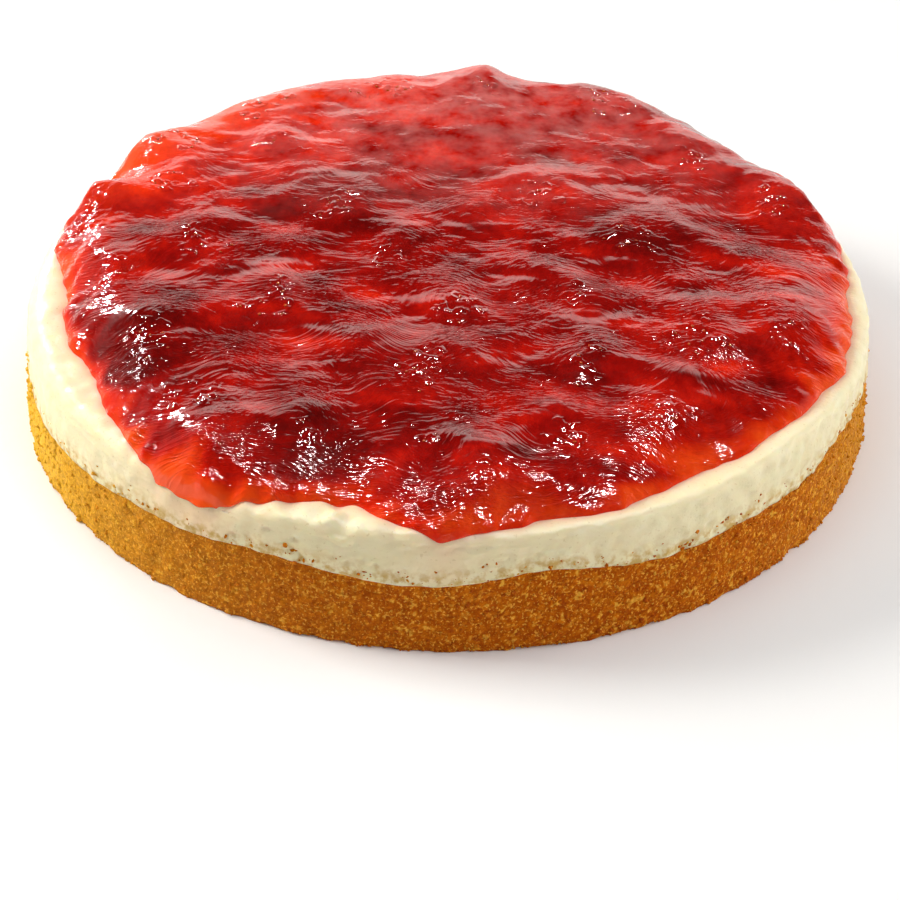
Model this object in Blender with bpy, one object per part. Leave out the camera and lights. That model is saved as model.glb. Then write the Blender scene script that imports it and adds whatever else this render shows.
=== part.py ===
"""A round strawberry mousse cake: a crumb crust, a cream layer, and a strawberry compote with halved berries.

Metres, +Z up. The origin is the middle of the flat underside, and -Y is the front.
Angles are in degrees from +X towards +Y, so the front is at 270.
"""

import math

import bmesh
import bpy

MM = 0.001

GAP = 0.3 * MM                 # clearance between neighbouring solids
COMPOTE_GAP = 0.4 * MM         # and between the curved faces of the compote and the cream
SEGMENTS = 60                  # corners round each layer

CAKE_RADIUS = 120.0 * MM       # a 24 cm springform tin
CRUST_HEIGHT = 22.8 * MM
CRUST_FOOT_ROUND = 1.6 * MM
CRUST_FOOT_STEPS = ((1.0, 0.0), (0.3, 0.35), (0.0, 1.4))  # rings' inset and height, in foot rounds
CRUST_UNEVEN = 0.25 * MM       # how far the side wanders inwards, on average
CRUST_RIM_DROP = 0.9 * MM      # the side ends this far under the top edge,
CRUST_RIM_INSET = 0.3 * MM     # and this far inside the outline
CRUST_LEVEL_RADIUS = 96.0 * MM # the top is level inside it,
CRUST_WAVE_RUN = 20.0 * MM     # and as wavy as its edge after this width
CRUST_TOP_INSETS = (24.0 * MM, 9.0 * MM, 1.6 * MM)  # rings on the top, inwards from its edge
CREAM_RADIUS = 119.6 * MM      # both radii are those at the foot, and
SIDE_SLOPE = 0.085             # the sides lean in by this much for each unit of height
CREAM_TOP = 33.0 * MM          # under the compote
SHOULDER_HEIGHT = 33.6 * MM
SHOULDER_ROUND = 3.3 * MM
SHOULDER_STEPS = (0.97, 0.80, 0.48, 0.0)  # rings from where the shoulder starts, in shoulder rounds
RIM_WIDTH = 14.0 * MM          # the rim settles to CREAM_TOP over this width
RIM_STEPS = (0.45, 1.05)       # rings inwards from the shoulder's start, in rim widths
CREAM_FOOT_RISE = 0.9 * MM     # the side starts this far over the crust's top edge,
CREAM_FOOT_INSET = 0.4 * MM    # and this far inside the outline

COMPOTE_REACH = 110.8 * MM
COMPOTE_LIMIT = 116.0 * MM     # the tongues stop where the shoulder turns down
COMPOTE_EDGE = 5.6 * MM        # thickness that the compote gains close to its edge
COMPOTE_EDGE_RUN = 4.0 * MM
COMPOTE_CROWN = 1.0 * MM       # and what it gains towards the middle
COMPOTE_CROWN_RUN = 60.0 * MM
COMPOTE_RIPPLE = 0.5 * MM      # small waves of the outline

# Rings of the compote: under it and over its edge, both inwards from its outline, and the rest by radius.
UNDER_INSETS = (20.0 * MM, 13.0 * MM, 8.0 * MM, 5.0 * MM, 2.8 * MM, 1.2 * MM, 0.3 * MM)
EDGE_INSETS = (0.05 * MM, 0.9 * MM, 2.4 * MM, 5.0 * MM, 9.0 * MM)
INNER_RADII = (96.0 * MM, 88.0 * MM, 79.0 * MM, 69.0 * MM, 58.0 * MM, 46.0 * MM, 33.0 * MM, 18.0 * MM)

MOUND_SPREAD = 0.40            # of the mound over a berry, in half lengths plus half widths of that berry
MOUND_RUN = 7.0 * MM           # the mounds fade out this close to the edge
SWELL_RISE = 0.4 * MM          # broad waves between the mounds, and their lengths
SWELL_X = 17.0 * MM
SWELL_Y = 13.0 * MM

BERRY_FLOOR = 34.6 * MM        # the cut faces of the halved berries
BERRY_PROUD = 2.2 * MM         # how far a berry's top stands out of the compote
BERRY_TAPER = 0.30             # how much narrower the tip is than the middle,
BERRY_DROOP = 0.22             # and how much lower
BERRY_FULLNESS = 0.8           # a round dome has 1 and a box has 0
BERRY_CORNERS = 9
BERRY_TIERS = 4
BERRY_TIER_ARC = 88.2 / BERRY_TIERS  # degrees from one ring of the dome to the next

# Waves of the crust's top edge: azimuth, rise in mm, width in degrees.
CRUST_WAVES = (
    (20, 0.8, 9), (62, -1.2, 8), (98, 1.0, 10), (140, -0.9, 8), (172, 0.6, 7),
    (205, -4.6, 9), (222, -1.6, 5), (237, -0.8, 3.5), (248, 1.4, 4.5), (267, -1.4, 6),
    (282, 2.4, 4.5), (300, -1.2, 5), (322, -0.6, 5), (333, 2.4, 5),
)

# Waves of the cream's shoulder, in the same form.
SHOULDER_WAVES = (
    (40, 0.5, 14), (110, -0.4, 16), (190, 0.4, 12), (232, -0.5, 8), (253, 0.9, 4),
    (262, 0.8, 4), (296, 0.9, 9), (320, 2.0, 9),
)

# Tongues and bays of the compote's edge, in the same form.
COMPOTE_LOBES = (
    (60, 2.8, 16), (88, 3.4, 10), (118, 2.6, 14), (150, 2.8, 10), (171, 2.2, 5),
    (186, -2.8, 5), (204, -4.8, 13), (230, 4.8, 7), (242, 4.2, 6), (256, -3.6, 4),
    (270.5, 5.2, 4.5), (289, 2.8, 4.5), (308, -2.2, 7), (335, 1.8, 9),
)

# Halved berries: x and y in mm, length, width, the compote's rise over the berry, and the way that the tip
# points in degrees.
BERRIES = (
    (-50, 56, 28, 24, 4.2, 200),
    (-80, 34, 25, 22, 3.4, 140),
    (-81, 58, 23, 19, 4.2, 60),
    (-58, 80, 25, 21, 4.6, 20),
    (-22, 90, 30, 21, 6.2, 175),
    (10, 92, 30, 24, 8.2, 100),
    (46, 85, 29, 23, 6.0, 330),
    (70, 56, 25, 22, 3.6, 250),
    (91, 33, 22, 19, 2.6, 80),
    (-31, 22, 30, 25, 3.8, 300),
    (26, 31, 28, 23, 3.6, 40),
    (52, 9, 30, 25, 3.8, 190),
    (-95, -10, 23, 20, 2.8, 100),
    (-67, 3, 26, 22, 3.0, 350),
    (-80, -45, 28, 24, 3.4, 230),
    (-63, -72, 22, 19, 2.2, 20),
    (-48, -27, 26, 23, 3.2, 80),
    (-15, -2, 25, 22, 2.6, 160),
    (2, -29, 25, 22, 2.8, 270),
    (30, -20, 25, 21, 2.6, 10),
    (-6, -59, 29, 24, 3.6, 210),
    (35, -54, 26, 22, 3.0, 120),
    (66, -38, 27, 22, 2.8, 300),
    (93, -36, 22, 18, 2.2, 60),
    (-33, -86, 25, 21, 3.0, 340),
    (-2, -88, 23, 18, 2.6, 250),
    (57, -72, 26, 22, 2.6, 140),
    (30, -84, 23, 19, 2.2, 40),
    (11, -105, 25, 14, 2.2, 355),
    (-55, -92, 24, 13, 2.0, 155),
)

MATERIALS = {
    "crumb": {"colour": (0.60, 0.25, 0.035, 1.0), "roughness": 0.85},
    "cream": {"colour": (0.90, 0.83, 0.64, 1.0), "roughness": 0.45},
    "compote": {"colour": (0.42, 0.012, 0.010, 1.0), "roughness": 0.16},
    "strawberry": {"colour": (0.56, 0.024, 0.014, 1.0), "roughness": 0.24},
}


def lobes(azimuth, features):
    """The sum of some bell-shaped features at an azimuth, in metres."""
    total = 0.0
    for centre, rise, width in features:
        away = (azimuth - centre + 180.0) % 360.0 - 180.0
        total += rise * MM * math.exp(-0.5 * (away / width) ** 2)
    return total


def ease(value):
    value = min(1.0, max(0.0, value))
    return value * value * (3.0 - 2.0 * value)


def crust_radius(azimuth, height):
    a = math.radians(azimuth)
    uneven = CRUST_UNEVEN * (1.0 + math.sin(5.0 * a) * math.cos(3.0 * a + 1.0))
    return CAKE_RADIUS - uneven - SIDE_SLOPE * height


def cream_radius(height):
    return CREAM_RADIUS - SIDE_SLOPE * height


def crust_top(azimuth, radius):
    """The crust is level inside and wavy at its edge."""
    wave = lobes(azimuth, CRUST_WAVES)
    return CRUST_HEIGHT + wave * ease((radius - CRUST_LEVEL_RADIUS) / CRUST_WAVE_RUN)


def shoulder(azimuth):
    return SHOULDER_HEIGHT + lobes(azimuth, SHOULDER_WAVES)


def shoulder_start():
    """The radius at which the cream's top starts to turn down to its side."""
    return cream_radius(SHOULDER_HEIGHT) - SHOULDER_ROUND


def cream_top(azimuth, radius):
    """The rim is rounded outside and settles towards the level middle."""
    high = shoulder(azimuth)
    start = shoulder_start()
    if radius > start:
        over = min(radius - start, SHOULDER_ROUND)
        return high - SHOULDER_ROUND + math.sqrt(SHOULDER_ROUND ** 2 - over ** 2)
    inside = ease((start - radius) / RIM_WIDTH)
    return high + (CREAM_TOP - high) * inside


def compote_reach(azimuth):
    a = math.radians(azimuth)
    ripple = COMPOTE_RIPPLE * math.sin(11.0 * a + 0.6) * math.sin(4.0 * a)
    return min(COMPOTE_LIMIT, COMPOTE_REACH + lobes(azimuth, COMPOTE_LOBES) + ripple)


def compote_top(azimuth, radius):
    """A rounded edge, a slight crown and a mound over each berry."""
    a = math.radians(azimuth)
    x = radius * math.cos(a)
    y = radius * math.sin(a)
    inward = max(0.0, compote_reach(azimuth) - radius)
    edge = COMPOTE_EDGE * math.sqrt(1.0 - math.exp(-inward / COMPOTE_EDGE_RUN))
    crown = COMPOTE_CROWN * ease(inward / COMPOTE_CROWN_RUN)
    mounds = 0.0
    for bx, by, length, width, rise, _ in BERRIES:
        spread = MOUND_SPREAD * 0.5 * (length + width) * MM
        away = math.hypot(x - bx * MM, y - by * MM)
        mounds += rise * MM * math.exp(-0.5 * (away / spread) ** 2)
    swell = SWELL_RISE * math.sin(x / SWELL_X + 1.0) * math.sin(y / SWELL_Y)
    mounds = (mounds + swell) * ease(inward / MOUND_RUN)
    return cream_top(azimuth, radius) + COMPOTE_GAP + edge + crown + mounds


def at(azimuth, radius, height):
    a = math.radians(azimuth)
    return (radius * math.cos(a), radius * math.sin(a), height)


def make_object(name, slot, corners, faces):
    mesh = bpy.data.meshes.new(name)
    mesh.from_pydata(corners, [], faces)
    tidy = bmesh.new()
    tidy.from_mesh(mesh)
    bmesh.ops.recalc_face_normals(tidy, faces=tidy.faces[:])
    tidy.to_mesh(mesh)
    tidy.free()
    mesh.materials.append(materials[slot])
    mesh.polygons.foreach_set("use_smooth", [True] * len(mesh.polygons))
    made = bpy.data.objects.new(name, mesh)
    bpy.context.scene.collection.objects.link(made)
    return made


def skin(name, slot, first, rings, last):
    """A closed solid: a pole, rings of equal length from it to the other pole, and that pole.

    Quads split from the wider ring to the narrower one, so layers that lie on each other have like facets.
    """
    count = len(rings[0])
    corners = [first]
    for ring in rings:
        corners.extend(ring)
    corners.append(last)
    end = len(corners) - 1
    faces = []
    for i in range(count):
        j = (i + 1) % count
        faces.append((0, 1 + i, 1 + j))
        faces.append((end, end - count + j, end - count + i))
    for k in range(len(rings) - 1):
        low = 1 + k * count
        high = low + count
        narrows = math.hypot(*rings[k + 1][0][:2]) < math.hypot(*rings[k][0][:2])
        for i in range(count):
            j = (i + 1) % count
            if narrows:
                faces.append((low + i, high + i, high + j))
                faces.append((low + i, high + j, low + j))
            else:
                faces.append((low + i, high + i, low + j))
                faces.append((high + i, high + j, low + j))
    return make_object(name, slot, corners, faces)


def azimuths():
    return [360.0 * i / SEGMENTS for i in range(SEGMENTS)]


def crust_top_ring(inset, lift):
    """A ring on the crust's top, or lifted over it, from its edge inwards."""
    ring = []
    for a in azimuths():
        radius = crust_radius(a, CRUST_HEIGHT) - inset
        ring.append(at(a, radius, crust_top(a, radius) + lift))
    return ring


def build_crust():
    def side_ring(inset, height):
        return [at(a, crust_radius(a, height) - inset, height) for a in azimuths()]

    rim = []
    for a in azimuths():
        height = crust_top(a, CAKE_RADIUS) - CRUST_RIM_DROP
        rim.append(at(a, crust_radius(a, height) - CRUST_RIM_INSET, height))
    rings = []
    for inset, height in CRUST_FOOT_STEPS:
        rings.append(side_ring(inset * CRUST_FOOT_ROUND, height * CRUST_FOOT_ROUND))
    rings.append(rim)
    rings += [crust_top_ring(inset, 0.0) for inset in reversed(CRUST_TOP_INSETS)]
    return skin("crumb_crust", "crumb", (0.0, 0.0, 0.0), rings, (0.0, 0.0, CRUST_HEIGHT))


def build_cream():
    def top_ring(radius):
        return [at(a, radius, cream_top(a, radius)) for a in azimuths()]

    lowest = []
    waist = []
    for a in azimuths():
        height = crust_top(a, CAKE_RADIUS) + CREAM_FOOT_RISE
        lowest.append(at(a, cream_radius(height) - CREAM_FOOT_INSET, height))
        height = 0.5 * (height + shoulder(a) - SHOULDER_ROUND)
        waist.append(at(a, cream_radius(height), height))
    rings = [crust_top_ring(inset, GAP) for inset in CRUST_TOP_INSETS]
    rings += [lowest, waist]
    rings += [top_ring(shoulder_start() + step * SHOULDER_ROUND) for step in SHOULDER_STEPS]
    rings += [top_ring(shoulder_start() - step * RIM_WIDTH) for step in RIM_STEPS]
    return skin("mousse_cream", "cream", (0.0, 0.0, CRUST_HEIGHT + GAP), rings, (0.0, 0.0, CREAM_TOP))


def build_compote():
    def under_ring(inset):
        ring = []
        for a in azimuths():
            radius = compote_reach(a) - inset
            ring.append(at(a, radius, cream_top(a, radius) + COMPOTE_GAP))
        return ring

    def edge_ring(inset):
        ring = []
        for a in azimuths():
            radius = compote_reach(a) - inset
            ring.append(at(a, radius, compote_top(a, radius)))
        return ring

    def inner_ring(radius):
        return [at(a, radius, compote_top(a, radius)) for a in azimuths()]

    rings = [under_ring(inset) for inset in UNDER_INSETS]
    rings += [edge_ring(inset) for inset in EDGE_INSETS]
    rings += [inner_ring(radius) for radius in INNER_RADII]
    bottom = (0.0, 0.0, CREAM_TOP + COMPOTE_GAP)
    top = (0.0, 0.0, compote_top(0.0, 0.0))
    return skin("strawberry_compote", "compote", bottom, rings, top)


def half_berry(name, slot, berry, grow):
    """A halved strawberry lying on its cut face: round at the stalk end, narrow and low at the tip."""
    x, y, length, width, _, pointing = berry
    azimuth = math.degrees(math.atan2(y, x))
    top = compote_top(azimuth, math.hypot(x, y) * MM) + BERRY_PROUD
    floor = BERRY_FLOOR - grow
    rise = top + grow - floor
    turn = math.radians(pointing)
    half_length = 0.5 * length * MM + grow
    half_width = 0.5 * width * MM + grow

    def tier(climb):
        ring = []
        level = math.sin(math.radians(climb))
        spread = math.cos(math.radians(climb)) ** BERRY_FULLNESS
        for i in range(BERRY_CORNERS):
            around = 2.0 * math.pi * (i + 0.5) / BERRY_CORNERS
            along = math.cos(around) * spread
            across = math.sin(around) * spread * (1.0 - BERRY_TAPER * along)
            height = floor + rise * level * (1.0 - BERRY_DROOP * along)
            u = half_length * along
            v = half_width * across
            ring.append((
                x * MM + u * math.cos(turn) - v * math.sin(turn),
                y * MM + u * math.sin(turn) + v * math.cos(turn),
                height,
            ))
        return ring

    rings = [tier(k * BERRY_TIER_ARC) for k in range(BERRY_TIERS)]
    return skin(name, slot, (x * MM, y * MM, floor), rings, (x * MM, y * MM, floor + rise))


def cut_pockets(compote):
    """Each berry sits in its own open pocket, with the usual clearance all round it."""
    for number, berry in enumerate(BERRIES, 1):
        cutter = half_berry("pocket_%02d" % number, "strawberry", berry, GAP)
        cutter.hide_render = True
        cutter.display_type = "WIRE"
        cut = compote.modifiers.new("pocket_%02d" % number, "BOOLEAN")
        cut.operation = "DIFFERENCE"
        cut.solver = "EXACT"
        cut.object = cutter


def make_material(name, values):
    material = bpy.data.materials.new(name)
    material.use_nodes = True
    shader = material.node_tree.nodes["Principled BSDF"]
    shader.inputs["Base Color"].default_value = values["colour"]
    shader.inputs["Roughness"].default_value = values["roughness"]
    shader.inputs["Metallic"].default_value = 0.0
    return material


for old in list(bpy.data.objects):
    bpy.data.objects.remove(old, do_unlink=True)

materials = {name: make_material(name, values) for name, values in MATERIALS.items()}

build_crust()
build_cream()
cut_pockets(build_compote())
for number, berry in enumerate(BERRIES, 1):
    half_berry("strawberry_%02d" % number, "strawberry", berry, 0.0)
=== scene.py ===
"""The looks of a strawberry mousse cake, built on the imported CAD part.

Lengths are in metres, and MM turns millimetres into metres. Angles round the cake are in degrees from +X
towards +Y. The front is -Y. A list of lobes gives places round the cake: for each one its azimuth, its width
in degrees and how much it adds.
"""

import math
from itertools import combinations

import bpy
import numpy as np
from mathutils import Matrix, Quaternion, Vector


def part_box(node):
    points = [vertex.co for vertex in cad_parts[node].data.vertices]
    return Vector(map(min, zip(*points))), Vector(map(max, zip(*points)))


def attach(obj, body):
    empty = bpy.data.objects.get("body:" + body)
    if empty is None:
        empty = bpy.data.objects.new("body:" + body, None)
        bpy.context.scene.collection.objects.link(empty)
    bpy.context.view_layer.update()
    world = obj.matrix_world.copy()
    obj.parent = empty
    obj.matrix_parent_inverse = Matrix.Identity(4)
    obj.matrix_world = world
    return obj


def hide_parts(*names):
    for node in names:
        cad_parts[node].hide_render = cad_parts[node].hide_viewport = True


MM = 0.001

# The camera, at the viewing angle of a cake seen from a little above.
CAMERA_DISTANCE = 0.6348
CAMERA_ELEVATION = 34.5
CAMERA_LENS = 88.0
CAMERA_SENSOR = 36.0
CAMERA_AIM_DOWN = 1.893  # degrees below the middle of the cake's underside
CAMERA_AIM_RIGHT = 0.083
CAMERA_ROLL = 1.4

# The studio's soft lamps: name, place, side, watts and colour.
WHITE = (1.0, 1.0, 1.0)
SOFT_LAMPS = (
    ("top_fill", (0.0, 0.2, 1.5), 1.8, 12.0, WHITE),
    ("left_key", (-1.1, 0.30, 0.70), 0.6, 20.5, (1.0, 0.97, 0.90)),
    ("right_fill", (1.2, 0.3, 0.40), 0.6, 7.0, WHITE),
    ("front_fill", (0.8, -0.8, 0.8), 0.9, 5.5, WHITE),
)
SOFT_TARGET = (0.0, 0.0, 0.02)
FLOOR_HALF = 6.0

# Small lamps whose reflections sparkle on bare, crinkled flesh.
SPARKLES = (
    (0.30, -0.40, 1.00), (-0.45, -0.25, 1.00), (0.42, -0.20, 1.00), (-0.80, 0.15, 0.80),
    (0.25, 0.05, 1.08), (-0.30, -0.50, 0.95), (-0.60, 0.80, 0.30),
)
SPARKLE_TARGET = (0.0, 0.0, 0.03)
SPARKLE_SIZE = 0.09
SPARKLE_WATTS = 6.5

# How the sky's brightness fades along an axis: from, to, and the brightness at each end.
SKY_FADES = (
    ("Z", 0.31, 0.44, 1.55, 0.02), ("Y", -0.65, 0.10, 0.15, 1.0),
    ("X", -0.70, -0.30, 0.25, 1.0), ("X", 0.35, 0.80, 1.0, 0.25),
)
SKY_COLOUR = (1.0, 0.92, 0.87)

# The cream.
WALL_SLOPE = 0.085  # how much the cake's side leans in for each unit of height
CREAM_WIDEST = 24.0 * MM  # the height where the cream is widest
CREAM_COLUMNS = 960
CREAM_SIDE_ROWS = 22
CREAM_TURN_ROWS = 9
CREAM_INNER_ROWS = 24
CREAM_INNER_RUN = 17.0 * MM  # how far in under the compote its rows go
CREAM_TUCK = 2.0 * MM  # how far it reaches down behind the crust's ragged edge
CREAM_SINK = 0.4 * MM  # how far its middle lies under the compote
SHOULDER_TURN = 3.3 * MM  # the shoulder's round: soft at the left and crisp at the right
SHOULDER_TURNS = ((174, 26, 2.8 * MM), (312, 24, -1.5 * MM))
SHOULDER_SHADE = 0.8 * MM  # how far under the shoulder the side's painted shade starts
SHADE_RUN = 2.5 * MM
RIM_WIDTH = 14.0 * MM
RIM_ROUGH = 0.22
RIM_ROUGHS = ((250, 17, 0.9), (215, 20, 0.3))
RIM_LUMPS = 0.32 * MM
RIM_PEBBLES = 0.14 * MM
SIDE_LUMPS = 0.17 * MM
SIDE_PEBBLES = 0.07 * MM
SIDE_INSET = 0.2 * MM
SIDE_CALMS = ((198, 28, 0.6),)
HOLE_COUNT = 90
HOLE_GROUPS = ((310, 12), (262, 12))
HOLE_LARGE_SHARE = 0.15
HOLE_INSET = 0.4 * MM  # how far over the crust the lowest holes are
HOLE_LIMIT = 3.0 * MM  # and how far under the shoulder the highest
STAIN_RUN = 1.6 * MM
STAIN_REACH = 2.0 * MM  # how far under the compote the stain goes
STAIN_AT_SIDE = 0.35
CRUMB_RUN = 1.9 * MM  # how far up the cream crumbs stick to it

# The crust.
CRUST_COLUMNS = 1480
CRUST_ROWS = 50
CRUMB_CELL = 1.05 * MM
CRUMB_RELIEF = 0.17 * MM
COARSE_CELL = 3.1 * MM
COARSE_RELIEF = 0.12 * MM
CRUST_LUMPS = 0.13 * MM
CRUST_INSET = 0.60 * MM
CRUST_TOP_INSET = 0.30 * MM
EDGE_LUMPS = 0.45 * MM
EDGE_PEBBLES = 0.50 * MM
FOOT_RUN = 0.9 * MM
FOOT_INSET = 0.6 * MM
FOOT_LUMPS = 0.25 * MM
CRUST_TOP_STEPS = ((0.5 * MM, 0.12 * MM), (1.4 * MM, 0.3 * MM), (3.0 * MM, 1.0 * MM))
CRUST_CORE_DROP = 4.0 * MM
# Painted light: paler gold where the key lamp falls at the left, and a little where the right lamp falls.
CRUST_PAINTED_LIGHTS = ((192, 27, 0.95), (348, 16, 0.30))

# The loose crumbs.
GRAIN_COUNT = 7000
GRAIN_FOOT_SHARE = 0.16
GRAIN_EDGE_SHARE = 0.22
GRAIN_MEDIAN = 0.36 * MM
GRAIN_SPREAD = 0.34
GRAIN_LEAST = 0.20 * MM
GRAIN_MOST = 0.95 * MM
GRAIN_BRIGHT_SHARE = 0.10

# The compote.
COMPOTE_RINGS = 172
LIP_RINGS = 8
TUCK_INSET = 1.5 * MM
SCALLOP_RADIUS = 112.0 * MM
SCALLOP_WAVES = 0.60 * MM
SCALLOP_LUMPS = 0.35 * MM
SCALLOP_FADE = 2.5 * MM
SCALLOP_ROUNDS = 12
SHOULDER_COVER = 0.35 * MM  # how much thicker it is where it hangs over the cream's shoulder
COVER_RUN = 2.0 * MM
RIM_HUMPS = (  # these rises are in millimetres
    (163.5, 3.0, 5.8), (155.5, 2.6, -2.4), (148, 3.2, 5.4), (141.5, 4.0, 3.0), (128, 6, 3.6), (114, 6, 3.8),
    (98, 6, -4.0), (77, 3.5, -2.6), (63, 8, 4.0), (44, 7, 1.6), (27, 4, 2.4), (20, 5.5, 4.6),
)
HUMP_RUN = 5.0 * MM
HUMP_REACH = 16.0 * MM
OUTLINE_HANGS = ((16, 9, 3.5 * MM),)  # how far it hangs out at the back right
EDGE_SINK = 0.15 * MM  # how far the thin edge sinks into the cream
EDGE_RISE = 6.3 * MM
EDGE_RUN = 6.5 * MM
CROWN_RISE = 1.0 * MM
CROWN_RUN = 60.0 * MM
CLEAR_RUN = 9.0 * MM  # how far in the surface is free of its edge
WARP_X = 2.4 * MM
WARP_Y = 1.8 * MM

# The compote's folds and ripples.
FOLD_RUN = 3.0 * MM
LONG_FOLDS = 0.20 * MM
SHORT_FOLDS = 0.08 * MM
EDGE_FOLDS = 0.18 * MM
DRIFT_ALONG = 2.0 * MM
DRIFT_ACROSS = 2.5 * MM
DRAPE_LEAN = 0.8  # how far the ripples bend round what stands up
RIPPLES = 0.045 * MM
RIPPLE_LEAST = 0.4
RIPPLE_FADE = 0.5
RIPPLE_FADE_RUN = 60.0 * MM
BACK_START = 10.0 * MM  # from here back the ripples fade and the colour is painted brighter, a painted sheen
CRINKLES = 0.14 * MM
LEFT_CRINKLES = ((171, 9, 0.10 * MM),)
WET_START = 3.0 * MM
WET_RUN = 11.0 * MM
EDGE_WET = 0.1
EDGE_WETS = ((205, 22, 0.4), (278, 16, 0.3))
LEFT_WETS = ((171, 6, 1.0),)
LEFT_WET_RUN = 14.0 * MM

# How bright the compote is, with a painted glow at the edge and a painted sheen at the back, and where it is
# thin.
OWN_TONE = 0.06
OWN_TONE_WEIGHT = 0.25
TONE_SHIFT = 0.15  # in half widths of the berry, towards the front
TONE_SPREAD = 0.9842
TONE_LIFT = 0.08
# Painted sheen: the flesh tone is painted brighter towards the back, standing in for the sheen seen there.
BACK_PAINTED_SHEEN = 0.34
BACK_PAINTED_SHEEN_RUN = 50.0 * MM
# Painted glow: the edge is painted brighter where light shines through the thin compote.
WIDE_PAINTED_GLOWS = ((140, 24, 1.5), (345, 17, 1.5), (303, 9, 0.8))
WIDE_PAINTED_GLOW_RUN = 14.0 * MM
NARROW_PAINTED_GLOWS = ((190, 14, 0.8), (238, 14, 1.5))
NARROW_PAINTED_GLOW_RUN = 5.0 * MM
THIN_RUN = 5.5 * MM
THIN_UNEVEN = 2.5 * MM
THIN_LEAST = 2.5 * MM
BACK_THINS = ((138, 22, 0.9),)
BACK_THIN_RUN = 17.0 * MM

# The mounds over the strawberries. A skew stretches them behind their middles and in front.
MOUND_SPREAD = 0.45  # in half lengths plus half widths
MOUND_BACK = 4.0 * MM  # how far behind the berry the mound's crest lies
MOUND_SKEW = (0.85, 1.15)
MOUND_LEAST = 1.5 * MM  # the least that a mound rises over the broad swell
MOUND_LOWEST = 0.3 * MM
MOUND_HIGHEST = 5.0 * MM
SWELL_SPREAD = 17.0 * MM
SWELL_RUN = 16.0 * MM
SWELL_REST = 0.02  # how much the level without berries counts

# Strawberries.
BERRY_PROUD = 0.8 * MM  # how far a berry lifts the compote over the broad mound round it
BERRY_SKEW = (0.62, 1.05)
BERRY_CREASE = 3.0  # how sharply its lump meets the mound
BERRY_RINGS = 34
BERRY_TAPER = 0.30
BERRY_SKIRT = 0.86  # where the skin turns down to the cut face, from 0 in the middle to 1
BERRY_SUNK = 2.0 * MM  # the least depth of the cut face under the compote
PIT_SPACING = 3.1 * MM
PIT_ROW_SPACING = 0.87 * PIT_SPACING
PIT_JITTER = 0.3 * MM
PIT_RADIUS = 0.75 * MM
PIT_DEPTH = 0.30 * MM
SKIN_KNOBS = 0.06 * MM
BARE_SHIFT = 0.36  # in half widths of the berry, towards the front
BARE_SPREAD = 0.50
BARE_SHARE = 0.42
BARE_PATCHES = 0.8
BARE_RISE = 0.14 * MM  # how far bare flesh stands out of the gel
BARE_INSET = 6.0 * MM  # no flesh is bare so near the compote's edge
COVERED_DROP = 0.5 * MM  # and how deep the rest lies under it
SEED_BARENESS = 0.7  # how bare the flesh is round a seed that shows
SEED_HALF_SIZE = (0.60 * MM, 0.38 * MM, 0.24 * MM)
SEED_RISE = 0.06 * MM

# How bright each strawberry's flesh shows through the glaze: 1 is bright scarlet and -1 is nearly black.
BERRY_TONES = (
    0.6, 0.9, 0.8, 0.8, 0.9, 0.2, 0.0, 0.1, 0.5, -0.5,
    0.5, -0.6, 0.3, 0.0, -0.9, -0.2, 0.2, -0.3, 0.0, 0.0,
    0.0, -0.2, 0.2, -0.2, -0.7, -0.6, 0.3, 0.2, 0.6, 0.0,
)

# Colours. A ramp's stops are its place and its colour.
GEL_DEEP = (
    (0.00, (0.075, 0.0008, 0.0006)), (0.25, (0.16, 0.0014, 0.0010)), (0.50, (0.30, 0.0028, 0.0015)),
    (0.75, (0.51, 0.0080, 0.0024)), (1.00, (0.80, 0.0240, 0.0035)),
)
GEL_THIN = ((0.0, (0.55, 0.008, 0.001)), (0.5, (0.74, 0.018, 0.002)), (1.0, (0.90, 0.080, 0.008)))
# The pale colour below is a painted haze, standing in for the sky's reflection on the far half.
GEL_PAINTED_HAZE = (0.76, 0.26, 0.24)
GLOSS_TINT = (1.0, 0.78, 0.74)
# The pits' dark colour is painted shade in the pits.
PIT_SHADE_COLOUR = (0.16, 0.002, 0.001)
SEED_COLOURS = ((0.3, (0.30, 0.020, 0.004)), (0.7, (0.62, 0.110, 0.014)))
CREAM_COLOURS = ((0.3, (0.88, 0.78, 0.49)), (0.7, (0.95, 0.87, 0.61)))
# The side's darker colour is painted shade under the shoulder.
CREAM_SIDE_SHADE = (0.80, 0.71, 0.44)
CREAM_STAIN = (0.93, 0.50, 0.34)
CREAM_TOAST = (0.62, 0.40, 0.12)
CREAM_FRECKLE = (0.62, 0.46, 0.20)
CRUMB_GOLDS = (
    (0.00, (0.35, 0.050, 0.0005)), (0.45, (0.48, 0.086, 0.001)), (0.80, (0.65, 0.165, 0.002)),
    (1.00, (0.95, 0.540, 0.060)),
)
CRUMB_PATCH = (0.50, 0.105, 0.001)
CRUMB_GRAIN = (0.72, 0.22, 0.004)
# Painted light: the paler gold of the lit sides.
CRUMB_PAINTED_LIGHT = (0.95, 0.60, 0.050)
CRUMB_DARK = (0.22, 0.040, 0.0005)
CRUMB_BRIGHT = (0.93, 0.50, 0.06)
# Painted shade in the hollows between grains.
CRUMB_HOLLOW_SHADE = (0.20, 0.036, 0.0005)
FLOOR_GREYS = ((0.0, (0.86, 0.86, 0.86)), (1.0, (0.90, 0.90, 0.90)))


# ----- Number tools -----


def ease(value):
    value = np.clip(value, 0.0, 1.0)
    return value * value * (3.0 - 2.0 * value)


def azimuth_of(x, y):
    return np.degrees(np.arctan2(y, x)) % 360.0


def turn_between(azimuth, centre):
    """Degrees from the centre to the azimuth, the short way round."""
    return (azimuth - centre + 180.0) % 360.0 - 180.0


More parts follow.
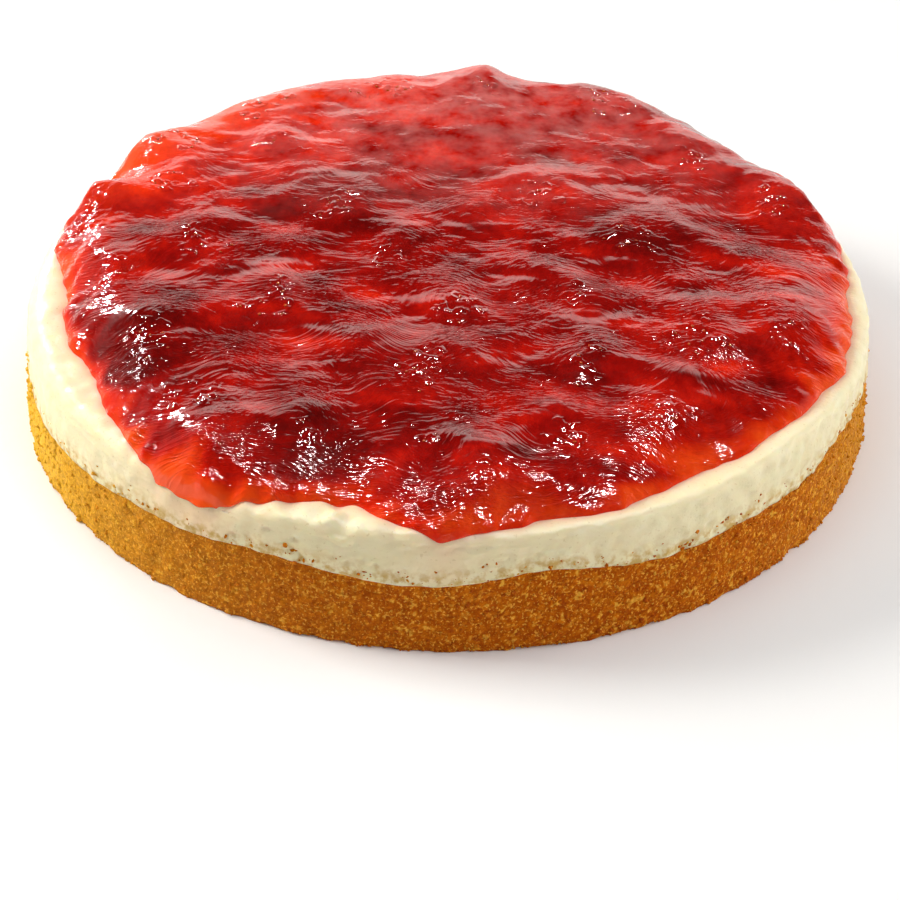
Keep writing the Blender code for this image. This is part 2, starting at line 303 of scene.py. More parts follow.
def lobes(azimuth, places):
    """The sum of smooth bumps round the cake."""
    total = 0.0
    for centre, width, amount in places:
        total = total + amount * np.exp(-0.5 * (turn_between(azimuth, centre) / width) ** 2)
    return total


def skewed(dy, skew):
    behind, before = skew
    return np.where(dy > 0.0, behind * dy, before * dy)


class Relief:
    """Random relief of mean 0 and spread 1 over a square that repeats, with its own wave lengths."""

    CELLS = 1024
    SIDE = 0.256

    def __init__(self, seed, wave_x, wave_y=None, band=0.45):
        wave_y = wave_y or wave_x
        rng = np.random.default_rng(seed)
        noise = np.fft.rfft2(rng.standard_normal((self.CELLS, self.CELLS)))
        step = self.SIDE / self.CELLS
        ky = np.fft.fftfreq(self.CELLS, step)[:, None] * wave_y
        kx = np.fft.rfftfreq(self.CELLS, step)[None, :] * wave_x
        pitch = np.hypot(kx, ky)
        noise *= np.exp(-0.5 * ((pitch - 1.0) / band) ** 2)
        noise[0, 0] = 0.0
        grid = np.fft.irfft2(noise, s=(self.CELLS, self.CELLS))
        self.grid = (grid / grid.std()).astype(np.float32)

    def __call__(self, x, y):
        u = np.asarray(x) / self.SIDE * self.CELLS
        v = np.asarray(y) / self.SIDE * self.CELLS
        i = np.floor(u).astype(int)
        j = np.floor(v).astype(int)
        fu = u - i
        fv = v - j

        def at(right, up):
            return self.grid[(j + up) % self.CELLS, (i + right) % self.CELLS]

        low = at(0, 0) * (1.0 - fu) + at(1, 0) * fu
        high = at(0, 1) * (1.0 - fu) + at(1, 1) * fu
        return low * (1.0 - fv) + high * fv


def cells(x, y, size, period, seed):
    """Grains on a strip that closes after period in x: how far the nearest is, in grain sizes, and its own
    random number from 0 to 1."""
    columns = max(1, int(round(period / size)))
    rows = 256
    jitter = np.random.default_rng(seed).random((rows, columns, 3))
    u = x / period * columns
    v = y / size
    iu = np.floor(u).astype(int)
    iv = np.floor(v).astype(int)
    nearest = np.full(u.shape, np.inf)
    number = np.zeros(u.shape)
    for dv in (-1, 0, 1):
        for du in (-1, 0, 1):
            cu = iu + du
            cv = iv + dv
            spot = jitter[cv % rows, cu % columns]
            away = np.hypot(cu + spot[..., 0] - u, cv + spot[..., 1] - v)
            closer = away < nearest
            number = np.where(closer, spot[..., 2], number)
            nearest = np.where(closer, away, nearest)
    return nearest, number


def around(node, value, low_radius=0.0):
    """A smooth function of azimuth through one value for each direction in which a CAD node has corners."""
    corners = np.array([v.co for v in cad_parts[node].data.vertices])
    radius = np.hypot(corners[:, 0], corners[:, 1])
    corners = corners[radius > low_radius]
    steps = np.round(azimuth_of(corners[:, 0], corners[:, 1]) / CAD_STEP).astype(int) % CAD_SIDES
    found = np.array([value(corners[steps == k]) for k in range(CAD_SIDES)])

    def profile(azimuth):
        place = (np.asarray(azimuth) % 360.0) / CAD_STEP
        k = np.floor(place).astype(int)
        t = place - k
        a, b, c, d = (found[(k + i) % CAD_SIDES] for i in (-1, 0, 1, 2))
        return b + 0.5 * t * (c - a + t * (2 * a - 5 * b + 4 * c - d + t * (3 * (b - c) + d - a)))

    return profile


# ----- Mesh tools -----


def add_object(name, data):
    made = bpy.data.objects.new(name, data)
    bpy.context.scene.collection.objects.link(made)
    return made


def make_piece(name, points, faces, material, nodes=(), values=None):
    """A smooth piece of the cake with some numbers kept on its points."""
    mesh = bpy.data.meshes.new(name)
    count = len(faces)
    mesh.vertices.add(len(points))
    mesh.vertices.foreach_set("co", np.asarray(points, np.float32).ravel())
    mesh.loops.add(3 * count)
    mesh.loops.foreach_set("vertex_index", faces.astype(np.int32).ravel())
    mesh.polygons.add(count)
    mesh.polygons.foreach_set("loop_start", np.arange(0, 3 * count, 3, dtype=np.int32))
    mesh.polygons.foreach_set("use_smooth", np.ones(count, bool))
    mesh.update(calc_edges=True)
    mesh.validate()
    for key, numbers in (values or {}).items():
        layer = mesh.attributes.new(key, "FLOAT", "POINT")
        layer.data.foreach_set("value", np.asarray(numbers, np.float32).ravel())
    mesh.materials.append(material)
    piece = add_object(name, mesh)
    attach(piece, "root")
    if nodes:
        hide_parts(*nodes)


def hex_disc(rings):
    """An even net of triangles on a disc: each corner's ring and angle, and the triangles."""
    ring = [np.zeros(1, int)]
    angle = [np.zeros(1)]
    start = [0]
    faces = []
    for k in range(1, rings + 1):
        spots = np.arange(6 * k)
        start.append(1 + 3 * k * (k - 1))
        ring.append(np.full(6 * k, k))
        angle.append(spots * (2.0 * math.pi / (6 * k)))
        sector, i = np.divmod(spots, k)
        inner = max(1, 6 * (k - 1))
        a = start[k] + spots
        b = start[k] + (spots + 1) % (6 * k)
        c = start[k - 1] + (sector * (k - 1) + i) % inner
        faces.append(np.stack([a, b, c], 1))
        if k > 1:
            d = start[k - 1] + (sector * (k - 1) + i + 1) % inner
            faces.append(np.stack([c, b, d], 1)[i < k - 1])
    return np.concatenate(ring), np.concatenate(angle), np.concatenate(faces)


def fan_faces(row_start, columns, tip, up):
    """Triangles from a row to one point, facing up or down."""
    a = row_start + np.arange(columns)
    b = row_start + (np.arange(columns) + 1) % columns
    tips = np.full(columns, tip)
    return np.stack([a, b, tips] if up else [b, a, tips], 1)


def lathe(rows, low_end, high_end):
    """Points and triangles of rows that close round the cake, with one point at each end of the axis."""
    count = len(rows)
    columns = len(rows[0])
    i, j = np.meshgrid(np.arange(count - 1), np.arange(columns), indexing="ij")
    right = (j + 1) % columns
    a = (i * columns + j).ravel()
    b = (i * columns + right).ravel()
    c = ((i + 1) * columns + right).ravel()
    d = ((i + 1) * columns + j).ravel()
    last = count * columns
    faces = np.concatenate([
        np.stack([a, b, c], 1),
        np.stack([a, c, d], 1),
        fan_faces(0, columns, last, False),
        fan_faces(last - columns, columns, last + 1, True),
    ])
    return np.concatenate(rows + [np.array([[0.0, 0.0, low_end], [0.0, 0.0, high_end]])]), faces


def with_ends(rows, value):
    """The numbers of a lathe's rows, and one value for both its ends."""
    return np.append(np.concatenate(rows), [value, value])


def circle(azimuth, radius, height):
    a = np.radians(azimuth)
    return np.stack([radius * np.cos(a), radius * np.sin(a), height], -1)


# ----- The frame, measured -----


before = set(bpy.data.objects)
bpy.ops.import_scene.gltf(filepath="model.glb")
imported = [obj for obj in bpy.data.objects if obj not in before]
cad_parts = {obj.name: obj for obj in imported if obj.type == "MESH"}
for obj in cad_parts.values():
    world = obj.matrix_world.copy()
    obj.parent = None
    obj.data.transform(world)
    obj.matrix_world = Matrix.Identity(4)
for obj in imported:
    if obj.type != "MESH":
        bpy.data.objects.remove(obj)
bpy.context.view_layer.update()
CAD_SIDES = 60
CAD_STEP = 360.0 / CAD_SIDES

crust_low, crust_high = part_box("crumb_crust")
cream_low, cream_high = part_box("mousse_cream")
CAKE_RADIUS = 0.5 * (crust_high.x - crust_low.x)
CREAM_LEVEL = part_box("strawberry_compote")[0].z
CREAM_RADIUS = cream_high.x + WALL_SLOPE * CREAM_WIDEST

crust_edge = around("crumb_crust", lambda c: c[:, 2].max(), CAKE_RADIUS - 6.0 * MM)
shoulder = around("mousse_cream", lambda c: c[:, 2].max(), CAKE_RADIUS - 8.0 * MM)
cad_outline = around(
    "strawberry_compote", lambda c: np.hypot(c[:, 0], c[:, 1]).max(), CAKE_RADIUS - 30.0 * MM
)


class Berry:
    """One CAD strawberry: its middle, half sizes, top, floor, and the way that its tip points."""

    FLAT = 0.1 * MM

    def __init__(self, number):
        self.number = number
        self.name = "strawberry_%02d" % number
        self.tone = BERRY_TONES[number - 1]
        corners = np.array([v.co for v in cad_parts[self.name].data.vertices])
        corners = np.unique(corners.round(6), axis=0)
        self.floor = corners[:, 2].min()
        self.top = corners[:, 2].max()
        flat = corners[corners[:, 2] < self.floor + self.FLAT][:, :2]
        middle = 0.5 * (flat.min(0) + flat.max(0))
        _, directions = np.linalg.eigh(np.cov((flat - middle).T))
        axis = directions[:, 1]
        along = (flat - middle) @ axis
        across = (flat - middle) @ np.array([-axis[1], axis[0]])
        if np.abs(across[along > 0]).max() > np.abs(across[along < 0]).max():
            axis = -axis
            along = -along
        self.axis = axis
        self.half_length = 0.5 * (along.max() - along.min())
        self.half_width = 0.5 * (across.max() - across.min())
        self.centre = middle + axis * 0.5 * (along.max() + along.min())

    def own(self, x, y):
        """Coordinates along the berry and across it, in half sizes."""
        dx = x - self.centre[0]
        dy = y - self.centre[1]
        along = (dx * self.axis[0] + dy * self.axis[1]) / self.half_length
        across = (dy * self.axis[0] - dx * self.axis[1]) / self.half_width
        return along, across / (1.0 - BERRY_TAPER * np.clip(along, -1.0, 1.0))

    def place(self, u, v):
        """The cake's x and y of places along the berry and across it, in metres."""
        x = self.centre[0] + u * self.axis[0] - v * self.axis[1]
        y = self.centre[1] + u * self.axis[1] + v * self.axis[0]
        return x, y

    def lift(self, x, y):
        """The lump over the berry: 1 at its top, 0 at its outline. It is steep at the front."""
        along, across = self.own(x, self.centre[1] + skewed(y - self.centre[1], BERRY_SKEW))
        return 1.0 - (along ** 2 + across ** 2)

    def near(self, x, y, shift, spread):
        """1 over the berry and 0 away from it, with its middle moved to the front by some half widths."""
        along, across = self.own(x, y + shift * self.half_width)
        return np.exp(-((along ** 2 + across ** 2) / spread) ** 1.5)


BERRIES = [Berry(number + 1) for number in range(len(BERRY_TONES))]
BERRY_X = np.array([berry.centre[0] for berry in BERRIES])
BERRY_Y = np.array([berry.centre[1] for berry in BERRIES])
BERRY_TOPS = np.array([berry.top for berry in BERRIES])


# ----- Shapes that several pieces share -----


long_folds = Relief(11, 30.0 * MM, 18.0 * MM)
short_folds = Relief(12, 11.0 * MM, 8.0 * MM)
ripples = Relief(13, 5.5 * MM, 3.2 * MM)
drift = Relief(15, 34.0 * MM)
swirl_x = Relief(21, 30.0 * MM)
swirl_y = Relief(22, 30.0 * MM)
pebbles = Relief(16, 3.6 * MM, 3.0 * MM, 0.3)
knobs = Relief(23, 1.8 * MM, 1.6 * MM, 0.3)
blotches = Relief(17, 26.0 * MM, 15.0 * MM)
small_blotches = Relief(18, 9.0 * MM, 5.0 * MM)
lumps = Relief(19, 9.0 * MM)


def shoulder_round(azimuth):
    return SHOULDER_TURN + lobes(azimuth, SHOULDER_TURNS)


def cream_radius(height):
    return CREAM_RADIUS - WALL_SLOPE * height


def rim_relief(azimuth, radius):
    """Bumps that the spatula left on the rim, mostly at the left of the front."""
    a = np.radians(azimuth)
    x = radius * np.cos(a)
    y = radius * np.sin(a)
    rough = RIM_ROUGH + lobes(azimuth, RIM_ROUGHS)
    return rough * (RIM_LUMPS * lumps(x, y) + RIM_PEBBLES * pebbles(0.5 * x, 0.5 * y))


def cream_top(azimuth, radius):
    high = shoulder(azimuth)
    turn = shoulder_round(azimuth)
    start = cream_radius(high) - turn
    over = np.clip(radius - start, 0.0, turn)
    outer = high - turn + np.sqrt(turn ** 2 - over ** 2)
    inside = ease((start - radius) / RIM_WIDTH)
    height = np.where(radius > start, outer, high + (CREAM_LEVEL - CREAM_SINK - high) * inside)
    return height + rim_relief(azimuth, radius) * (1.0 - inside)


def compote_outline(azimuth):
    return cad_outline(azimuth) + lobes(azimuth, OUTLINE_HANGS)


def scallops(azimuth):
    """Small irregular waves of the compote's outline."""
    a = np.radians(azimuth)
    x = SCALLOP_RADIUS * np.cos(a)
    y = SCALLOP_RADIUS * np.sin(a)
    return SCALLOP_WAVES * swirl_x(x, y) + SCALLOP_LUMPS * lumps(x, y)


def compote_radius(azimuth, inward):
    """The radius that lies inward of the compote's edge. Only the nearest few millimetres are scalloped."""
    wave = scallops(azimuth)
    smooth = np.broadcast_to(inward, np.shape(azimuth)).astype(float)
    for _ in range(SCALLOP_ROUNDS):
        smooth = inward - wave * np.exp(-np.maximum(smooth, 0.0) / SCALLOP_FADE)
    return compote_outline(azimuth) - smooth


def inwards(x, y):
    """How far each place is from the compote's edge."""
    azimuth = azimuth_of(x, y)
    smooth = compote_outline(azimuth) - np.hypot(x, y)
    wave = scallops(azimuth) * np.exp(-np.maximum(smooth, 0.0) / SCALLOP_FADE)
    return np.maximum(0.0, smooth + wave)


def warped(x, y):
    """Places shifted a little this way and that, so that no lump is round."""
    return x + WARP_X * swirl_x(x, y), y + WARP_Y * swirl_y(x, y)


def edge_rise(inward):
    return EDGE_RISE * (1.0 - np.exp(-inward / EDGE_RUN))


def rim_humps(azimuth, inward):
    """Broad lumps that stand at the compote's edge, mostly at the back."""
    rise = lobes(azimuth, RIM_HUMPS) * MM
    return rise * ease(inward / HUMP_RUN) * np.exp(-(inward / HUMP_REACH) ** 2)


def bare_height(x, y):
    """The compote without berries: a rounded edge and a low crown. Also how far it is clear of the edge."""
    azimuth = azimuth_of(x, y)
    inward = inwards(x, y)
    edge = EDGE_RISE * (1.0 - np.exp(-inward / EDGE_RUN)) ** 0.75
    crown = CROWN_RISE * ease(inward / CROWN_RUN)
    radius = np.hypot(x, y)
    past = radius - cream_radius(shoulder(azimuth)) + shoulder_round(azimuth)
    cover = SHOULDER_COVER * ease(past / COVER_RUN + 0.5)
    base = cream_top(azimuth, radius) - EDGE_SINK + cover
    return base + edge + crown + rim_humps(azimuth, inward), ease(inward / CLEAR_RUN)


def swell(x, y):
    """The broad level on which the mounds over the berries stand."""
    total = np.zeros(np.shape(x))
    weight = np.full(np.shape(x), SWELL_REST)
    for berry, excess in zip(BERRIES, TOP_EXCESS):
        near = np.exp(-0.5 * (np.hypot(x - berry.centre[0], y - berry.centre[1]) / SWELL_SPREAD) ** 2)
        total = total + near * excess
        weight = weight + near
    return total / weight * ease(inwards(x, y) / SWELL_RUN)


def mound_shape(berry, x, y):
    """Broad, and steeper at the front than at the back. The places are warped ones."""
    spread = MOUND_SPREAD * (berry.half_length + berry.half_width)
    dy = skewed(y - berry.centre[1] - MOUND_BACK, MOUND_SKEW)
    return np.exp(-0.5 * (np.hypot(x - berry.centre[0], dy) / spread) ** 2)


def mound_rises():
    """How high the mound over each berry is, so that together they meet the tops of the CAD berries."""
    height, within = bare_height(BERRY_X, BERRY_Y)
    wx, wy = warped(BERRY_X, BERRY_Y)
    shares = np.stack([mound_shape(berry, wx, wy) for berry in BERRIES], 1) * within[:, None]
    left = BERRY_TOPS - BERRY_PROUD - height - swell(BERRY_X, BERRY_Y)
    return np.linalg.solve(shares, left).clip(MOUND_LOWEST, MOUND_HIGHEST)


# How far each CAD berry's top stands over the bare compote and the least mound.
TOP_EXCESS = BERRY_TOPS - bare_height(BERRY_X, BERRY_Y)[0] - BERRY_PROUD - MOUND_LEAST
MOUND_RISES = mound_rises()


def smooth_height(x, y):
    """The compote's surface without its ripples."""
    bare, within = bare_height(x, y)
    bare = bare + swell(x, y)
    height = bare
    wx, wy = warped(x, y)
    lump = np.full(np.shape(x), -np.inf)
    for berry, rise in zip(BERRIES, MOUND_RISES):
        height = height + rise * mound_shape(berry, wx, wy) * within
        lump = np.maximum(lump, berry.lift(wx, wy))
    proud = BERRY_PROUD * np.log1p(np.exp(BERRY_CREASE * lump)) / BERRY_CREASE
    height = height + (proud + LONG_FOLDS * long_folds(x, y)) * within
    folds = (SHORT_FOLDS + EDGE_FOLDS * (1.0 - within)) * short_folds(x, y)
    height = height + folds * ease(inwards(x, y) / FOLD_RUN)
    return height, height - bare


def drape(x, y, lifted):
    """Coordinates along the ripples and across them. The ripples bend round the lumps."""
    front = np.clip(-y / (np.hypot(x, y) + MM), 0.0, 1.0)
    along = x + DRIFT_ALONG * drift(y, x)
    across = y + DRAPE_LEAN * (lifted + front * edge_rise(inwards(x, y))) + DRIFT_ACROSS * drift(x, y)
    return along, across


def gel_height(x, y):
    height, lifted = smooth_height(x, y)
    along, across = drape(x, y, lifted)
    calm = RIPPLE_LEAST + (1.0 - RIPPLE_LEAST) * ease(0.5 + 0.6 * blotches(y, x))
    waves = RIPPLES * ripples(along, across) * calm
    waves = waves * (1.0 - RIPPLE_FADE * ease((y - BACK_START) / RIPPLE_FADE_RUN))
    crinkle = CRINKLES + lobes(azimuth_of(x, y), LEFT_CRINKLES)
    crinkle = crinkle * speckle(x, y) * pebbles(x, y)
    return height + (waves + crinkle) * ease(inwards(x, y) / FOLD_RUN), lifted


def bareness(berry, x, y):
    """From 0 to 1, where the berry's flesh is bare: patches on the side that faces the front."""
    patches = ease(BARE_SHARE + BARE_PATCHES * small_blotches(x, y))
    return berry.near(*warped(x, y), BARE_SHIFT, BARE_SPREAD) * patches


def speckle(x, y):
    """From 0 to 1, where flesh lies close under the gel and crinkles it."""
    total = np.zeros(np.shape(x))
    for berry in BERRIES:
        total = np.maximum(total, bareness(berry, x, y))
    inward = inwards(x, y)
    azimuth = azimuth_of(x, y)
    start = ease(inward / WET_START)
    edge = start * np.exp(-(inward / WET_RUN) ** 2) * (EDGE_WET + lobes(azimuth, EDGE_WETS))
    total = np.maximum(total, edge * ease(0.9 * small_blotches(y, x)))
    left = start * np.exp(-(inward / LEFT_WET_RUN) ** 4) * lobes(azimuth, LEFT_WETS)
    return np.maximum(total, left)


def tone_and_painted_light(x, y):
    """How bright the compote is at each place, from the berries under it and from blotches of its own, with
    a painted glow of light through the thin edge and a painted sheen that brightens the back.
    """
    weight = np.full(np.shape(x), OWN_TONE_WEIGHT)
    total = OWN_TONE * blotches(x, y)
    wx, wy = warped(x, y)
    for berry in BERRIES:
        near = berry.near(wx, wy, TONE_SHIFT, TONE_SPREAD)
        total = total + near * berry.tone
        weight = weight + near
    azimuth = azimuth_of(x, y)
    inward = inwards(x, y)
    # Painted glow of light through the thin edge, and below it the painted sheen towards the back.
    painted_glow = lobes(azimuth, WIDE_PAINTED_GLOWS) * np.exp(-inward / WIDE_PAINTED_GLOW_RUN)
    painted_glow = painted_glow + lobes(azimuth, NARROW_PAINTED_GLOWS) * np.exp(-inward / NARROW_PAINTED_GLOW_RUN)
    return total / weight + painted_glow + TONE_LIFT + BACK_PAINTED_SHEEN * ease((y - BACK_START) / BACK_PAINTED_SHEEN_RUN)


def gel_depth(x, y):
    """0 at the compote's thin edge and 1 where it is deep. The back left is thin over a wider strip."""
    inward = inwards(x, y)
    wide = lobes(azimuth_of(x, y), BACK_THINS) * np.exp(-(inward / BACK_THIN_RUN) ** 2)
    return ease(inward / (THIN_RUN + THIN_UNEVEN * blotches(x, y)).clip(THIN_LEAST)) * (1.0 - wide)


# ----- Materials -----


class Nodes:
    """A short way to write the nodes of a material or a world."""

    def __init__(self, owner, place="Object"):
        owner.use_nodes = True
        self.owner = owner
        self.tree = owner.node_tree
        self.place = self.tree.nodes.new("ShaderNodeTexCoord").outputs[place]

    def feed(self, target, value):
        """Sets an input: a socket is linked, a tuple is a colour, and a list is a vector."""
        if isinstance(value, bpy.types.NodeSocket):
            self.tree.links.new(value, target)
        elif isinstance(value, tuple):
            target.default_value = (*value, 1.0)
        else:
            target.default_value = value

    def fill(self, node, inputs):
        for key, value in inputs.items():
            self.feed(node.inputs[key.replace("_", " ")], value)
        return node

    def add(self, kind, **inputs):
        return self.fill(self.tree.nodes.new("ShaderNode" + kind), inputs)

    def number(self, name):
        node = self.add("Attribute")
        node.attribute_name = name
        return node.outputs["Fac"]

    def axis(self, name):
        return self.add("SeparateXYZ", Vector=self.place).outputs[name]

    def noise(self, size, stretch=(1.0, 1.0, 1.0), detail=3.0, roughness=0.55):
        """Noise whose patches are about size across, in metres."""
        scale = [1.0 / (size * s) for s in stretch]
        place = self.add("Mapping", Vector=self.place, Scale=scale).outputs["Vector"]
        node = self.add("TexNoise", Vector=place, Scale=1.0, Detail=detail, Roughness=roughness)
        return node.outputs["Fac"]

    def strands(self, size_along, size_across, width):
        """Thin wrinkles along the lines where noise in the ripples' own coordinates changes sign."""
        along = self.maths("DIVIDE", self.number("along"), size_along)
        across = self.maths("DIVIDE", self.number("across"), size_across)
        place = self.add("CombineXYZ", X=along, Y=across).outputs["Vector"]
        noise = self.add("TexNoise", Vector=place, Scale=1.0, Detail=1.0).outputs["Fac"]
        swing = self.between(noise, 0.0, 1.0, -1.0, 1.0)
        return self.between(self.maths("ABSOLUTE", swing), 0.0, width, 1.0, 0.0)

    def ramp(self, source, stops):
        node = self.add("ValToRGB", Fac=source)
        elements = node.color_ramp.elements
        elements[0].position = stops[0][0]
        elements[-1].position = stops[-1][0]
        for position, _ in stops[1:-1]:
            elements.new(position)
        for element, (_, colour) in zip(elements, stops):
            element.color = (*colour, 1.0)
        return node.outputs["Color"]

    def mix(self, share, a, b):
        node = self.add("Mix")
        node.data_type = "RGBA"
        self.feed(node.inputs[0], share)
        self.feed(node.inputs[6], a)
        self.feed(node.inputs[7], b)
        return node.outputs[2]

    def maths(self, operation, a, b=0.0):
        node = self.add("Math")
        node.operation = operation
        self.feed(node.inputs[0], a)
        self.feed(node.inputs[1], b)
        return node.outputs[0]

    def times(self, a, b):
        return self.maths("MULTIPLY", a, b)

    def between(self, source, low, high, to_low=0.0, to_high=1.0):
        ends = {"From Min": low, "From Max": high, "To Min": to_low, "To Max": to_high}
        return self.add("MapRange", Value=source, **ends).outputs["Result"]

    def bump(self, height, distance, strength=1.0, under=None):
        node = self.add("Bump", Height=height, Distance=distance, Strength=strength)
        if under:
            self.feed(node.inputs["Normal"], under)
        return node.outputs["Normal"]

    def finish(self, colour, **inputs):
        """The material, with its shader's inputs set."""
        self.fill(self.tree.nodes["Principled BSDF"], {"Base Color": colour, **inputs})
        return self.owner


def material_nodes(name):
    return Nodes(bpy.data.materials.new(name))


def gel_colour(n):
    """The compote's colour, from nearly black maroon through scarlet to orange where it is thin, with a
    painted haze over the far half. Its tone also holds the painted glow and the painted sheen.
    """
    mottle = n.noise(11.0 * MM, (1.4, 1.0, 1.0), 3.0, 0.5)
    fleck = n.noise(3.6 * MM, (0.7, 1.0, 1.0), 3.0, 0.6)
    shade = n.maths("ADD", n.number("tone"), n.between(mottle, 0.25, 0.75, -0.60, 0.45))
    shade = n.maths("ADD", shade, n.between(fleck, 0.3, 0.7, -0.34, 0.18))
    deep = n.mix(painted_haze(n), n.ramp(n.between(shade, -1.3, 1.3), GEL_DEEP), GEL_PAINTED_HAZE)
    thin = n.ramp(n.between(shade, -1.2, 1.2), GEL_THIN)
    return n.mix(n.number("depth"), thin, deep)


def painted_haze(n):
    """Painted haze: a pale colour in patches on the far half, most of all in the middle, standing in for the
    reflection of the bright sky there.
    """
    film = n.between(n.noise(9.0 * MM, (1.0, 0.8, 1.0), 3.0, 0.6), 0.34, 0.66)
    film = n.times(film, n.between(n.axis("Y"), 0.01, 0.09, 0.0, 0.55))
    return n.times(film, n.between(n.maths("ABSOLUTE", n.axis("X")), 0.03, 0.09, 1.0, 0.25))


def compote_material():
    n = material_nodes("compote_gloss")
    sharp = n.between(n.axis("Y"), -0.02, 0.07, 1.0, 0.20)
    crinkle = n.between(n.number("wet"), 0.0, 0.8, 0.05, 0.24)
    crinkle = n.maths("MAXIMUM", crinkle, n.between(sharp, 0.2, 1.0, 0.9, 0.0))
    crinkle = n.times(n.noise(1.8 * MM, detail=1.0), crinkle)
    normal = n.bump(n.times(n.strands(6.0 * MM, 2.6 * MM, 0.34), sharp), 0.10 * MM)
    normal = n.bump(n.times(n.strands(2.8 * MM, 1.3 * MM, 0.40), sharp), 0.060 * MM, under=normal)
    normal = n.bump(crinkle, 0.17 * MM, under=normal)
    gloss = n.between(n.noise(14.0 * MM), 0.3, 0.7, 0.09, 0.15)
    return n.finish(
        gel_colour(n), Roughness=gloss, Normal=normal, IOR=1.45, Specular_Tint=GLOSS_TINT,
        Subsurface_Weight=0.12, Subsurface_Radius=[1.0, 0.10, 0.04], Subsurface_Scale=2.5 * MM,
    )


def berry_material():
    n = material_nodes("strawberry_flesh")
    # Painted shade darkens the pits.
    colour = n.mix(n.times(n.number("pit"), 0.5), gel_colour(n), PIT_SHADE_COLOUR)
    crinkle = n.bump(n.noise(1.3 * MM, detail=1.0), 0.14 * MM)
    return n.finish(
        colour, Roughness=0.06, Normal=crinkle, IOR=1.50, Specular_Tint=GLOSS_TINT,
        Coat_Weight=0.8, Coat_Roughness=0.03,
        Subsurface_Weight=0.1, Subsurface_Radius=[1.0, 0.12, 0.05], Subsurface_Scale=2.0 * MM,
    )


def seed_material():
    n = material_nodes("strawberry_seed")
    colour = n.ramp(n.noise(2.5 * MM, detail=1.0), SEED_COLOURS)
    return n.finish(colour, Roughness=0.15, Coat_Weight=0.8, Coat_Roughness=0.03)


def cream_material():
    n = material_nodes("cream_set")
    colour = n.ramp(n.noise(9.0 * MM, detail=4.0), CREAM_COLOURS)
    # Painted shade: the side is painted darker than the top.
    colour = n.mix(n.times(n.number("side"), 0.55), colour, CREAM_SIDE_SHADE)
    colour = n.mix(n.between(n.number("stain"), 0.0, 1.0, 0.0, 0.9), colour, CREAM_STAIN)
    dusted = n.times(n.number("crumb"), n.between(n.noise(2.4 * MM), 0.42, 0.62))
    colour = n.mix(dusted, colour, CREAM_TOAST)
    freckle = n.times(n.between(n.noise(0.9 * MM, detail=1.0), 0.66, 0.74), 0.35)
    colour = n.mix(freckle, colour, CREAM_FRECKLE)
    normal = n.bump(n.noise(0.8 * MM), 0.12 * MM, 0.6)
    normal = n.bump(n.noise(3.2 * MM, (1.0, 1.0, 0.6)), 0.38 * MM, 0.6, normal)
    return n.finish(
        colour, Roughness=0.42, Normal=normal, IOR=1.42, Specular_IOR_Level=0.3,
        Subsurface_Weight=0.5, Subsurface_Radius=[1.0, 0.7, 0.4], Subsurface_Scale=2.5 * MM,
    )


def crumb_material():
    n = material_nodes("crumb_baked")
    gold = n.ramp(n.number("grain"), CRUMB_GOLDS)
    gold = n.mix(n.between(n.noise(11.0 * MM), 0.35, 0.70, 0.0, 0.55), gold, CRUMB_PATCH)
    gold = n.mix(n.between(n.noise(1.1 * MM, detail=2.0), 0.45, 0.75, 0.0, 0.5), gold, CRUMB_GRAIN)
    # Painted light: paler gold on the lit sides.
    gold = n.mix(n.times(n.number("painted_light"), 0.9), gold, CRUMB_PAINTED_LIGHT)
    gold = n.mix(n.between(n.noise(0.55 * MM, detail=1.0), 0.35, 0.65, 0.30, 0.0), gold, CRUMB_DARK)
    gold = n.mix(n.between(n.noise(0.7 * MM, detail=1.0), 0.57, 0.70, 0.0, 0.70), gold, CRUMB_BRIGHT)
    # Painted shade in the hollows between grains.
    gold = n.mix(n.times(n.number("hollow_shade"), 0.55), gold, CRUMB_HOLLOW_SHADE)
    normal = n.bump(n.noise(0.55 * MM), 0.22 * MM, 0.8)
    return n.finish(
        gold, Roughness=0.60, Normal=normal, IOR=1.45, Specular_IOR_Level=0.05,
        Subsurface_Weight=0.1, Subsurface_Radius=[1.0, 0.4, 0.05], Subsurface_Scale=1.0 * MM,
    )


def floor_material():
    n = material_nodes("studio_floor")
    return n.finish(n.ramp(n.noise(0.6, detail=1.0), FLOOR_GREYS), Roughness=0.7)


# ----- Pieces -----


def gel_values(x, y, lifted):
    along, across = drape(x, y, lifted)
    # The tone also holds the painted glow and the painted sheen.
    tone = tone_and_painted_light(x, y)
    return {"tone": tone, "depth": gel_depth(x, y), "wet": speckle(x, y), "along": along, "across": across}


def compote_places(ring, angle):
    """Where the net's corners lie: the rings crowd together at the edge and turn round in the middle."""
    azimuth = np.degrees(angle)
    outline = compote_outline(azimuth)
    mean = outline[ring == COMPOTE_RINGS].mean()
    step = mean / (COMPOTE_RINGS - 0.5 * LIP_RINGS)
    left = (COMPOTE_RINGS - ring).astype(float)
    inward = np.where(left < LIP_RINGS, 0.5 * left ** 2 / LIP_RINGS, left - 0.5 * LIP_RINGS) * step
    share = np.clip(1.0 - inward / mean, 0.0, 1.0)
    radius = compote_radius(azimuth, inward) - (outline - mean) * (1.0 - share ** 3)
    radius[ring == 0] = 0.0
    return radius


